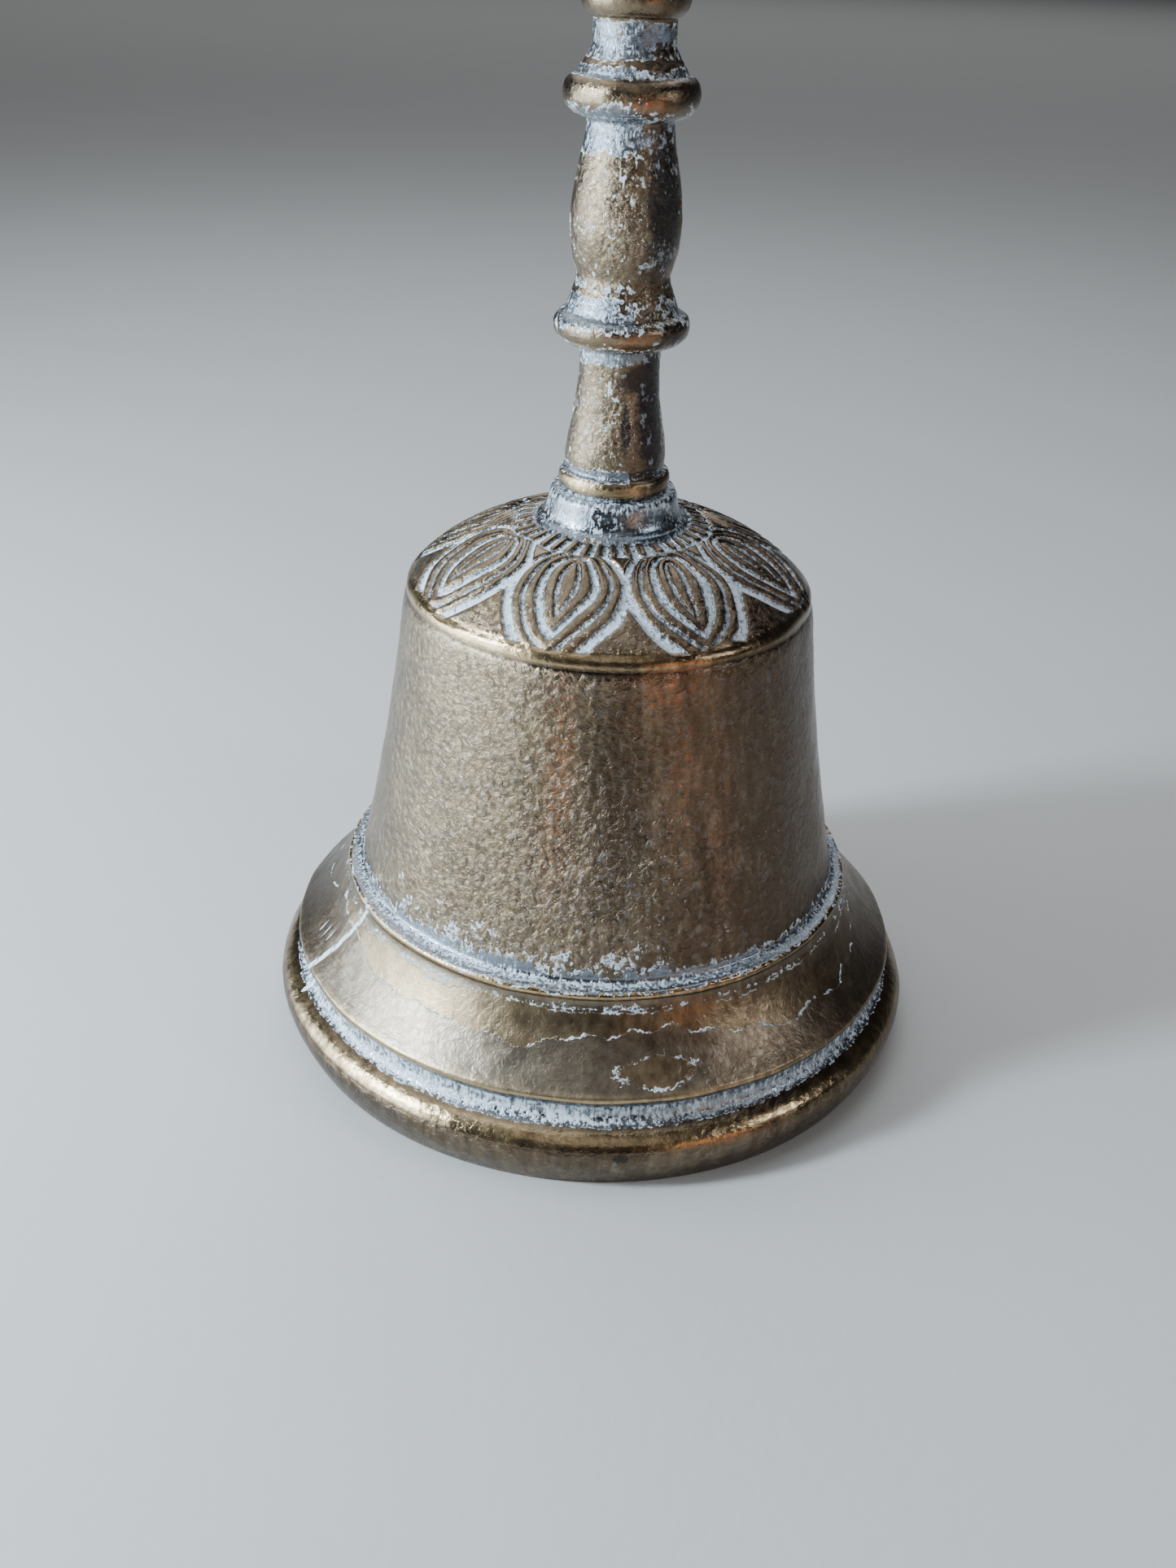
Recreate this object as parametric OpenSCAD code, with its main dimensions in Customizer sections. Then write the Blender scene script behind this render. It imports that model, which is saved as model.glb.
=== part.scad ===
// Brass hand bell for worship: a cast cup with a lotus shoulder, a turned handle screwed
// on through the crown, and a ball clapper that hangs from an eye bolt by a wire ring.
// Millimetres, +Z up. The origin is the centre of the mouth, on the plane the bell stands on.

/* [Cup] */
// Radius of the mouth at the bottom edge
mouth_r = 37.6; // [36.8:0.1:38.0]
// Radius of the mouth's inner edge
mouth_inner_r = 33.4; // [32.8:0.1:34.0]
// Radius of the edge round the skirt's foot
skirt_r = 36.7; // [36.2:0.1:36.9]
// Radius of the plain wall where it leaves the waist
wall_foot_r = 28.5; // [28.2:0.1:28.8]
// Radius of the plain wall under the shoulder
wall_head_r = 23.3; // [23.0:0.1:23.6]
// Height of the rounded edge where the wall turns into the shoulder
shoulder_z = 55.2; // [54.9:0.1:55.4]
// Height of the flat collar that the handle stands on
crown_z = 65.7; // [65.5:0.1:66.0]
// Height of the crown's flat underside, where the washer seats
crown_under_z = 59.4; // [59.0:0.1:59.6]

/* [Lotus relief] */
// Number of petals round the shoulder
petal_count = 8; // [6:1:8]
// Turn of the first petal from the front
petal_turn = -16; // [-22:1:22]
// Height of the ridges above the shoulder
ridge_h = 0.45; // [0.3:0.05:0.6]

/* [Handle] */
// Largest radius of the handle's lower bead
lower_bead_r = 7.1; // [6.8:0.05:7.6]
// Largest radius of the handle's upper bead
upper_bead_r = 6.7; // [6.4:0.05:7.2]
// Largest radius of the grip between the beads
grip_r = 5.65; // [5.3:0.05:6.0]
// Height of the finial above the handle's top face
finial_h = 23.8; // [20:0.2:28]

/* [Fixing] */
// Radius of the eye bolt's shank
bolt_r = 2.5; // [2.3:0.1:2.5]
// Height of the clamp nut
nut_h = 4.0; // [3.2:0.1:4.4]
// Width of the clamp nut across its flats
nut_flats = 8.0; // [7.5:0.5:9]
// Thickness of the crown washer
washer_h = 1.0; // [0.8:0.1:1.2]
// Radius of the crown washer
washer_r = 6.5; // [6:0.5:7]

/* [Clapper] */
// Radius of the clapper ball
ball_r = 8.0; // [7:0.1:8]
// Height of the ball's centre
ball_z = 12.8; // [12.6:0.1:14]
// Radius of the clapper rod
rod_r = 1.1; // [1.0:0.05:1.1]
// Radius of the hanger ring's wire
ring_wire_r = 0.7; // [0.6:0.05:0.7]
// Radius of the hanger ring, to the middle of its wire
ring_r = 4.2; // [4.2:0.1:4.6]

/* [Hidden] */
$fn = 96;
fit_gap = 0.05;                 // radial gap of each screwed or riveted fit
over = 1;                       // how far a cutter runs past the face it cuts

// turned features of the cup
lip_z = 6.5;                    // top edge of the lip band
skirt_z = 10.5;                 // middle of the bead round the skirt's foot
skirt_bead_r = 0.6;
waist_z = 19.4;                 // middle of the thin bead at the waist
waist_bead_r = 0.55;
waist_r = wall_foot_r + 1.3;    // middle of that bead
wall_foot_z = 20.8;
wall_head_z = shoulder_z - 4.3;
edge_r = wall_head_r - 1.3;     // where the rounded edge meets the dome
dome_end_r = 8.4;               // where the dome meets the crown collar
dome_end_z = crown_z - 3.4;
collar_r = 6.5;                 // the crown collar's flat top
crown_hole_r = 2.7;             // clearance hole for the bolt

// turned features of the handle, counted up from the crown collar
foot_bead_z = crown_z + 1.45;
lower_bead_z = crown_z + 17.85;
upper_bead_z = crown_z + 39.6;
top_bead_z = crown_z + 48.2;
handle_top_z = crown_z + 50.6;
foot_r = 5.7;                   // the handle's foot on the crown collar
foot_bead_r = 6.05;
stem_foot_r = 5.3;              // the stem where it leaves the foot bead
stem_r = 4.3;                   // the slimmest part of the flared stem
collar_neck_r = 4.75;           // the foot of the grip
neck_r = 4.05;                  // the neck under the top bead
lower_collar_r = 5.95;          // the flared collar on the lower bead
upper_collar_r = 5.4;           // the flared collar on the upper bead
top_bead_r = 5.25;
bead_under = 2.2;               // height of a bead's tapered underside
lower_bead_over = 1.3;          // height of the lower bead's top
upper_bead_over = 1.75;         // height of the upper bead's top
bolt_depth = 20;                // how far the bolt screws into the handle
spigot_r = 2.0;                 // the finial's screwed spigot
spigot_h = 8;

// pieces that hang inside
washer_z = crown_under_z - washer_h;
nut_z = washer_z - nut_h;
eye_z = nut_z - 5.6;            // centre of the bolt's eye
eye_r = 3.6;
eye_hole_r = 1.5;
eye_thick = 2.4;
shank_foot_z = eye_z + 2.6;
ring_top_z = eye_z - 0.4;       // middle of the ring's wire where it passes through the eye
ring_z = ring_top_z - ring_r;   // centre of the ring
loop_wire_r = 0.9;
loop_r = 2.2;                   // the rod's loop, to the middle of its wire
loop_z = ring_z - ring_r - 0.4; // centre of the loop, which hangs on the ring
flat_depth = 0.5;               // how much is cut off the ball's top and bottom
ball_foot_z = ball_z - ball_r + flat_depth;
ball_head_z = ball_z + ball_r - flat_depth;
rivet_r = 2.1;                  // the rod's peened head under the ball
rivet_h = 1.0;
rod_collar_r = 2.0;             // the rod's collar on top of the ball
rod_collar_h = 1.2;

// A point of a cubic Bezier curve: p holds its four control points, t runs from 0 to 1.
function bezier(p, t) = pow(1 - t, 3) * p[0] + 3 * pow(1 - t, 2) * t * p[1]
                        + 3 * (1 - t) * t * t * p[2] + pow(t, 3) * p[3];
// The curve as n + 1 points.
function curve(p, n = 8) = [for (i = [0 : n]) bezier(p, i / n)];
// Part of an ellipse about c, from angle a to angle b, as n + 1 points.
function bow(c, rx, rz, a, b, n = 8) =
    [for (i = [0 : n]) let (t = a + (b - a) * i / n) c + [rx * cos(t), rz * sin(t)]];

// The cup's outside, from the mouth up to the crown collar.
function lip_line() =
    curve([[mouth_r, 0], [mouth_r + 0.9, 1.9], [mouth_r + 2.7, 5.0], [mouth_r + 0.4, lip_z]]);
function cove_line() =
    curve([[mouth_r + 0.4, lip_z], [mouth_r - 0.2, 7.1], [skirt_r - 1.8, 7.3],
           [skirt_r - 0.4, skirt_z - 0.5]]);
function skirt_line() = concat(
    bow([skirt_r - skirt_bead_r, skirt_z], skirt_bead_r, skirt_bead_r, -60, 60, 5),
    curve([[skirt_r - 0.3, skirt_z + 0.5], [34.2, 12.9], [31.6, 15.5], [waist_r + 0.4, 18.6]]));
function waist_line() = concat(
    bow([waist_r, waist_z], waist_bead_r, waist_bead_r, -60, 90, 6),
    curve([[waist_r, waist_z + waist_bead_r], [waist_r - 0.9, 20.0],
           [wall_foot_r, 20.2], [wall_foot_r, wall_foot_z]], 4));
function wall_line() =
    curve([[wall_foot_r, wall_foot_z], [wall_foot_r - 2.0, 29.8], [wall_head_r + 1.65, 38.2],
           [wall_head_r, wall_head_z]]);
function shoulder_line(up = 0) = concat(
    curve([[wall_head_r + up, wall_head_z], [wall_head_r - 0.2 + up, shoulder_z - 2.3],
           [wall_head_r - 0.4 + up, shoulder_z - 1], [edge_r + up, shoulder_z + up]], 5),
    curve([[edge_r + up, shoulder_z + up], [edge_r - 3.4 + up, shoulder_z + 3.7 + up],
           [13.6, dome_end_z - 1.3 + up], [dome_end_r, dome_end_z + up]], 9));
function collar_line() =
    curve([[dome_end_r, dome_end_z], [7.0, dome_end_z + 0.2], [collar_r + 0.3, crown_z - 2.0],
           [collar_r, crown_z]], 5);

// The cup's inside, from the crown down to the mouth. The wall thickens into the lip.
function cavity_line() = concat(
    [[0, crown_under_z]],
    curve([[8.0, crown_under_z], [16.0, crown_under_z - 0.4], [20.4, 54.9], [20.7, 50]]),
    curve([[20.7, 50], [22.4, 38], [23.8, 30], [26.0, 21]], 6),
    curve([[26.0, 21], [28.2, 14], [mouth_inner_r - 1.2, 7], [mouth_inner_r, 0]], 6),
    [[mouth_inner_r, -over], [0, -over]]);

// The pointed outline between two equal circles, from r0 to r1 out along +X.
module petal_outline(r0, r1, half_w) {
    half_l = (r1 - r0) / 2;
    arc_r = (half_l * half_l + half_w * half_w) / (2 * half_w);
    translate([(r0 + r1) / 2, 0])
        intersection_for (s = [-1, 1])
            translate([0, s * (arc_r - half_w)]) circle(arc_r);
}

// One lotus petal seen from above: two ridges and a leaf inside them.
module petal_plan() {
    difference() {
        petal_outline(9.5, 24.5, 6.6);
        petal_outline(10.5, 23.2, 5.5);
    }
    difference() {
        petal_outline(11.5, 22.3, 4.5);
        petal_outline(12.5, 21.0, 3.4);
    }
    petal_outline(14.0, 19.6, 1.8);
}

// The shoulder's skin raised by the ridge height, as a solid of revolution.
module raised_shoulder() {
    foot_z = shoulder_z - 1.5;
    rotate_extrude()
        polygon(concat([[dome_end_r, dome_end_z - 1.2], [edge_r - 0.5, foot_z]],
                       [for (p = shoulder_line(ridge_h)) if (p[1] > foot_z) p]));
}

module lotus_relief() {
    intersection() {
        raised_shoulder();
        for (i = [0 : petal_count - 1])
            rotate([0, 0, -90 + petal_turn + i * 360 / petal_count])
                translate([0, 0, shoulder_z - 2])
                    linear_extrude(10) petal_plan();
    }
}

module bell_cup() {
    color([0.53, 0.45, 0.33]) difference() {
        union() {
            rotate_extrude()
                polygon(concat([[0, 0]], lip_line(), cove_line(), skirt_line(), waist_line(),
                               wall_line(), shoulder_line(), collar_line(), [[0, crown_z]]));
            lotus_relief();
        }
        rotate_extrude() polygon(cavity_line());
        translate([0, 0, crown_under_z - over])
            cylinder(r = crown_hole_r, h = crown_z - crown_under_z + 2 * over);
    }
}

// The handle's outside, from the foot up to the top bead.
function foot_line() = concat(
    [[0, crown_z], [foot_r, crown_z], [foot_r, foot_bead_z - 0.8]],
    bead_line(foot_bead_r, foot_bead_z, foot_r, 0.8, stem_foot_r, 1.25));
function stem_line() =
    curve([[stem_foot_r, foot_bead_z + 1.25], [5.85, foot_bead_z + 4],
           [stem_r - 0.35, foot_bead_z + 7.5], [stem_r, lower_bead_z - bead_under]]);
// A bead of radius r at height z, tapering down to foot_r and rounded up to head_r.
function bead_line(r, z, foot_r, under, head_r, over) = concat(
    curve([[foot_r, z - under], [(foot_r + r) / 2, z - 0.9 * under], [r, z - 0.6 * under],
           [r, z]], 6),
    curve([[r, z], [r, z + 0.65 * over], [head_r + 0.55 * (r - head_r), z + 0.95 * over],
           [head_r, z + over]], 6));
function lower_collar_line() =
    curve([[lower_collar_r, lower_bead_z + lower_bead_over], [5.4, lower_bead_z + 2.9],
           [4.85, lower_bead_z + 3.9], [collar_neck_r, lower_bead_z + 5]], 4);
function grip_line() =
    curve([[collar_neck_r, lower_bead_z + 5], [grip_r + 0.7, lower_bead_z + 9.05],
           [grip_r - 0.1, lower_bead_z + 12.3], [stem_r, upper_bead_z - bead_under - 0.6]], 10);
function neck_line() =
    curve([[upper_collar_r, upper_bead_z + upper_bead_over], [4.95, upper_bead_z + 3],
           [neck_r - 0.3, upper_bead_z + 3.9], [neck_r, upper_bead_z + 5]], 5);

module handle_spindle() {
    color([0.56, 0.50, 0.40]) difference() {
        rotate_extrude()
            polygon(concat(foot_line(), stem_line(),
                           bead_line(lower_bead_r, lower_bead_z, stem_r, bead_under,
                                     lower_collar_r, lower_bead_over),
                           lower_collar_line(), grip_line(),
                           bead_line(upper_bead_r, upper_bead_z, stem_r, bead_under,
                                     upper_collar_r, upper_bead_over),
                           neck_line(),
                           bead_line(top_bead_r, top_bead_z, neck_r, 1.9, neck_r, 1.9),
                           [[neck_r, handle_top_z], [0, handle_top_z]]));
        translate([0, 0, crown_z - over])
            cylinder(r = bolt_r + fit_gap, h = bolt_depth + over);
        translate([0, 0, handle_top_z - spigot_h])
            cylinder(r = spigot_r + fit_gap, h = spigot_h + over);
    }
}

// A lotus bud on a small collar, with a screwed spigot below.
module finial() {
    z0 = handle_top_z;
    top = z0 + finial_h;
    color([0.58, 0.50, 0.36]) union() {
        rotate_extrude()
            polygon(concat([[0, z0], [3.6, z0]],
                           bow([3.4, z0 + 1.9], 1.2, 0.8, -70, 80, 6),
                           curve([[3.0, z0 + 3.2], [3.0, z0 + 4.6], [6.6, z0 + 5.0],
                                  [6.7, z0 + 9.6]], 6),
                           curve([[6.7, z0 + 9.6], [6.6, z0 + 14.5], [2.2, z0 + 15.5],
                                  [1.3, top - 3.4]]),
                           bow([0.2, top - 1.6], 1.6, 1.6, -60, 90, 7),
                           [[0, top]]));
        translate([0, 0, z0 - spigot_h + 0.5])
            cylinder(r = spigot_r, h = spigot_h);
    }
}

module crown_washer() {
    color([0.70, 0.58, 0.34]) translate([0, 0, washer_z]) difference() {
        cylinder(r = washer_r, h = washer_h);
        translate([0, 0, -over]) cylinder(r = crown_hole_r, h = washer_h + 2 * over);
    }
}

module clamp_nut() {
    corner_r = nut_flats / 2 / cos(30);
    chamfer_r = corner_r - 0.6;
    color([0.66, 0.55, 0.33]) translate([0, 0, nut_z]) difference() {
        intersection() {
            cylinder(r = corner_r, h = nut_h, $fn = 6);
            rotate_extrude()
                polygon([[0, 0], [chamfer_r, 0], [corner_r, 0.5], [corner_r, nut_h - 0.5],
                         [chamfer_r, nut_h], [0, nut_h]]);
        }
        translate([0, 0, -over]) cylinder(r = bolt_r + fit_gap, h = nut_h + 2 * over);
    }
}

// The shank is flattened into an eye, with a round-bottomed step on either side.
module eye_bolt() {
    shank_h = crown_z + bolt_depth - 0.6 - shank_foot_z;
    color([0.60, 0.50, 0.31]) difference() {
        union() {
            translate([0, 0, shank_foot_z]) cylinder(r = bolt_r, h = shank_h);
            translate([0, 0, eye_z]) rotate([90, 0, 0])
                cylinder(r = eye_r, h = eye_thick, center = true);
        }
        translate([0, 0, eye_z]) rotate([90, 0, 0])
            cylinder(r = eye_hole_r, h = eye_thick + 2 * over, center = true);
        for (s = [-1, 1])
            translate([0, s * (bolt_r + eye_thick / 2), eye_z + 1.4]) rotate([0, 90, 0])
                cylinder(r = bolt_r, h = 4 * bolt_r, center = true);
    }
}

// A torus about the Y axis, or about the X axis when across is true.
module wire_ring(r, wire_r, z, across = false) {
    translate([0, 0, z]) rotate(across ? [0, 90, 0] : [90, 0, 0])
        rotate_extrude() translate([r, 0]) circle(wire_r);
}

module hanger_ring() {
    color([0.42, 0.38, 0.33]) wire_ring(ring_r, ring_wire_r, ring_z, across = true);
}

// A wire bent into a loop above, with a collar on the ball and its end peened over below.
module clapper_rod() {
    shank_z = ball_foot_z - 0.3;
    color([0.40, 0.36, 0.31]) union() {
        wire_ring(loop_r, loop_wire_r, loop_z);
        translate([0, 0, shank_z]) cylinder(r = rod_r, h = loop_z - loop_r + 0.2 - shank_z);
        translate([0, 0, ball_head_z]) cylinder(r = rod_collar_r, h = rod_collar_h);
        rotate_extrude()
            polygon(concat([[0, ball_foot_z - rivet_h]],
                           bow([0, ball_foot_z], rivet_r, rivet_h, -80, 0, 6),
                           [[0, ball_foot_z]]));
    }
}

module clapper_ball() {
    color([0.62, 0.52, 0.32]) difference() {
        translate([0, 0, ball_z]) sphere(ball_r);
        translate([0, 0, ball_z]) cylinder(r = rod_r + fit_gap, h = 3 * ball_r, center = true);
        for (z = [ball_foot_z - 2 * ball_r, ball_head_z])
            translate([-ball_r, -ball_r, z]) cube(2 * ball_r);
    }
}

bell_cup();
handle_spindle();
finial();
crown_washer();
clamp_nut();
eye_bolt();
hanger_ring();
clapper_rod();
clapper_ball();
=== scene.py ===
"""Brass hand bell for worship: the looks of the cup, handle, finial, fixing and clapper.

Every new piece is a surface turned about Z: a profile in the plane of radius and height,
carried round the axis, with a relief raised along the profile's own normal. Profiles are
worked out in millimetres and written to the meshes in metres.
"""
import math

import bpy
import numpy as np
from bpy.props import (FloatProperty, FloatVectorProperty, IntProperty, PointerProperty)
from mathutils import Matrix, Vector


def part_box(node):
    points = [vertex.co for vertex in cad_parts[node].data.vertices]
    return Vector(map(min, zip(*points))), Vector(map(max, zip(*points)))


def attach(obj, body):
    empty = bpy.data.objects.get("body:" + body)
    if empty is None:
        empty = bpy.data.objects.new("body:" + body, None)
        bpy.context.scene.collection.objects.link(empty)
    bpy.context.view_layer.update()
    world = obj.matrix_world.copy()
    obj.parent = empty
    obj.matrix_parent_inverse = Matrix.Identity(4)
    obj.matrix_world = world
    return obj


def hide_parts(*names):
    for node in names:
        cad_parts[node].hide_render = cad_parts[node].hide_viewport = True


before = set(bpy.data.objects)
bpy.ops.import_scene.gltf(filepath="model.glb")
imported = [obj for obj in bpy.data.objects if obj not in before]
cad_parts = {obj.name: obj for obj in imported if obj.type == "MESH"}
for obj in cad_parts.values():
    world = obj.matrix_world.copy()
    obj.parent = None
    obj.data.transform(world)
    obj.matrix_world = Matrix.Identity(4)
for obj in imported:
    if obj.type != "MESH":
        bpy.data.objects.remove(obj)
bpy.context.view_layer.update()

bl_info = {
    "name": "Brass Hand Bell",
    "version": (1, 0, 0),
    "blender": (4, 5, 0),
    "location": "3D View > Sidebar > Bell",
    "description": "Builds a brass hand bell round its packed frame",
    "category": "Add Mesh",
}

MM = 0.001


def low(node):
    """The lowest corner of a frame node, in millimetres."""
    return np.array(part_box(node)[0]) / MM


def high(node):
    """The highest corner of a frame node, in millimetres."""
    return np.array(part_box(node)[1]) / MM


# Settings


def length(name, description, mm, **limits):
    """A length property whose default is given in millimetres."""
    return FloatProperty(name=name, description=description, default=mm * MM,
                         unit="LENGTH", precision=5, **limits)


def colour(name, description, rgb):
    """A colour property whose default is given as red, green and blue from 0 to 1."""
    return FloatVectorProperty(name=name, description=description, default=rgb, size=3,
                               subtype="COLOR", min=0.0, max=1.0)


class CupSettings(bpy.types.PropertyGroup):
    mouth_r: length("Mouth radius", "Radius of the bottom edge", 37.6)
    mouth_inner_r: length("Mouth inner radius", "Radius of the mouth's inner edge", 33.4)
    skirt_r: length("Skirt radius", "Radius of the edge round the skirt's foot", 36.7)
    wall_foot_r: length("Wall foot radius", "Radius of the plain wall at the waist", 28.5)
    wall_head_r: length("Wall head radius", "Radius of the plain wall at the shoulder", 23.3)
    shoulder_z: length("Shoulder height", "Height of the rounded shoulder edge", 55.2)
    crown_z: length("Crown height", "Height of the collar under the handle",
                    low("handle_spindle")[2])
    under_z: length("Crown underside", "Height of the crown's flat underside",
                    high("crown_washer")[2])
    unevenness: length("Unevenness", "Depth of the hand-finished waviness", 0.05)
    petals: IntProperty(name="Petals", description="Petals round the shoulder",
                        default=8, min=5, max=12)
    petal_turn: FloatProperty(name="Petal turn", description="Turn of the first petal",
                              default=math.radians(-16), subtype="ANGLE")
    stamens: IntProperty(name="Stamens", description="Short ridges round the collar",
                         default=40, min=16, max=64)
    relief: length("Relief", "Height of the petals' ridges over the ground", 0.42)


class HandleSettings(bpy.types.PropertyGroup):
    lower_bead_r: length("Lower bead radius", "Largest radius of the lower bead",
                         high("handle_spindle")[0])
    upper_bead_r: length("Upper bead radius", "Largest radius of the upper bead", 6.7)
    grip_r: length("Grip radius", "Largest radius of the grip", 5.65)
    unevenness: length("Unevenness", "Depth of the cast waviness", 0.045)
    bud_petals: IntProperty(name="Bud petals", description="Petals in each row of the finial",
                            default=8, min=5, max=12)
    bud_relief: length("Bud relief", "Depth of the lines between the bud's petals", 0.35)


class FinishSettings(bpy.types.PropertyGroup):
    brass: colour("Brass", "Clean rubbed brass", (0.58, 0.42, 0.225))
    patina: colour("Patina", "Brown patina over the brass", (0.245, 0.185, 0.122))
    # brown also paints shade and dark reflections through the brown mark
    brown: colour("Brown", "Dark brown tarnish", (0.085, 0.056, 0.036))
    film: colour("Film", "Greyish film on the skirt and wall", (0.28, 0.245, 0.195))
    # copper also paints the warm reflection stripes on the cup's wall
    copper: colour("Copper", "Reddish stains", (0.45, 0.19, 0.09))
    slate: colour("Slate", "Blue-grey tarnish under the polish", (0.25, 0.30, 0.36))
    # grime is real dirt in the pits and also paints shade through the dark mark
    grime_and_shade: colour("Grime", "Dark dirt in the pits", (0.040, 0.036, 0.038))
    polish: colour("Polish", "Dried polish in the hollows", (0.77, 0.86, 0.94))
    iron: colour("Iron", "Dark bent wire", (0.17, 0.155, 0.145))
    floor: colour("Floor", "Pale floor", (0.57, 0.56, 0.54))


class StageSettings(bpy.types.PropertyGroup):
    pitch: FloatProperty(name="Pitch", description="How far the camera looks down",
                         default=math.radians(29.5), subtype="ANGLE")
    heading: FloatProperty(name="Heading", description="Turn of the camera about Z",
                           default=math.radians(0.49), subtype="ANGLE")
    roll: FloatProperty(name="Roll", description="Lean of the camera",
                        default=math.radians(2.456), subtype="ANGLE")
    distance: length("Distance", "How far the camera stands in front of the axis", 162.9)
    height: length("Height", "Height of the camera", 120.7)
    lens: FloatProperty(name="Lens", description="Focal length on a 36 mm tall sensor",
                        default=35.5, min=10.0, max=200.0)
    key: FloatProperty(name="Key light", description="Power of the cool light on the left",
                       default=2.1, subtype="POWER")
    soft: FloatProperty(name="Soft light", description="Power of the broad light on the left",
                        default=1.4, subtype="POWER")
    side: FloatProperty(name="Side light", description="Power of the small light on the right",
                        default=0.2, subtype="POWER")
    warm: FloatProperty(name="Warm light", description="Power of the dim warm light in front",
                        default=0.06, subtype="POWER")
    front: FloatProperty(name="Front light", description="Power of the soft light in front",
                         default=0.35, subtype="POWER")
    top: FloatProperty(name="Top light", description="Power of the light over the shoulder",
                       default=1.9, subtype="POWER")
    back: FloatProperty(name="Back light", description="Power of the wide light on the floor",
                        default=24.0, subtype="POWER")
    world: FloatProperty(name="World", description="Strength of the even light all round",
                         default=0.06, min=0.0, max=2.0)


# Curves in the plane of radius and height


def bezier(p0, p1, p2, p3, n=14):
    """A cubic Bezier curve through p0 and p3, pulled towards p1 and p2, as n + 1 points."""
    t = np.linspace(0.0, 1.0, n + 1)[:, None]
    p0, p1, p2, p3 = (np.array(p, float) for p in (p0, p1, p2, p3))
    return ((1 - t) ** 3 * p0 + 3 * (1 - t) ** 2 * t * p1
            + 3 * (1 - t) * t ** 2 * p2 + t ** 3 * p3)


def bow(centre, half_r, half_z, start, stop, n=12):
    """Part of an ellipse about centre, from one angle in degrees to another."""
    t = np.radians(np.linspace(start, stop, n + 1))[:, None]
    return np.array(centre, float) + np.hstack([half_r * np.cos(t), half_z * np.sin(t)])


def line(*points):
    """Straight lines from point to point."""
    return np.array(points, float)


def even(curve, step):
    """The curve's points spaced step apart along it, with its corners kept to half a step."""
    run = np.concatenate([[0.0], np.cumsum(np.hypot(*np.diff(curve, axis=0).T))])
    keep = np.concatenate([[True], np.diff(run) > 1e-9])
    marks = np.linspace(0.0, run[-1], max(2, int(round(run[-1] / step)) + 1))
    return np.column_stack([np.interp(marks, run[keep], curve[keep, k]) for k in (0, 1)])


def smooth(x, start, stop):
    """0 below start, 1 above stop, and a smooth cubic step between them."""
    t = np.clip((x - start) / (stop - start), 0.0, 1.0)
    return t * t * (3.0 - 2.0 * t)


def band(x, start, stop, soft):
    """1 between start and stop, falling to 0 over soft on either side."""
    return smooth(x, start - soft, start) * (1.0 - smooth(x, stop, stop + soft))


def bands(z, *rows):
    """The highest of several bands, each given as start, stop, softness and strength."""
    return np.max([strength * band(z, start, stop, soft)
                   for start, stop, soft, strength in rows], axis=0)


def turn_from(turn, start):
    """How far each turn lies from start, both ways round, in degrees."""
    return (np.degrees(turn) - start + 180) % 360 - 180


def on_circle(radius, turn, z=0.0):
    """Points at a radius from the axis, a turn from the front and a height."""
    return np.column_stack([radius * np.sin(turn), -radius * np.cos(turn), z + 0 * turn])


def spots(turn, z, *rows):
    """The highest of several soft spots, each given as its turn in degrees, its height, its
    half width in degrees and its half height: 1 in the middle, falling as a bell curve."""
    off = [turn_from(turn, middle) for middle, *_ in rows]
    return np.max([np.exp(-(o / w) ** 2 - ((z - mid) / h) ** 2)
                   for o, (_, mid, w, h) in zip(off, rows)], axis=0)


def ridge(x):
    """A flat-topped ridge: 1 near x = 0, falling steeply past x = 1."""
    return 1.0 / (1.0 + x ** 6)


def waves(points, size, seed, count=18):
    """Smooth waviness between about -1 and 1: a sum of sine waves across random directions,
    with wavelengths about size."""
    rng = np.random.default_rng(seed)
    total = np.zeros(len(points))
    for _ in range(count):
        way = rng.normal(size=3)
        way *= 2 * math.pi / (size * rng.uniform(0.7, 1.6)) / np.linalg.norm(way)
        total += np.sin(points @ way + rng.uniform(0, 2 * math.pi))
    return total / math.sqrt(count)


# Meshes


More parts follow.
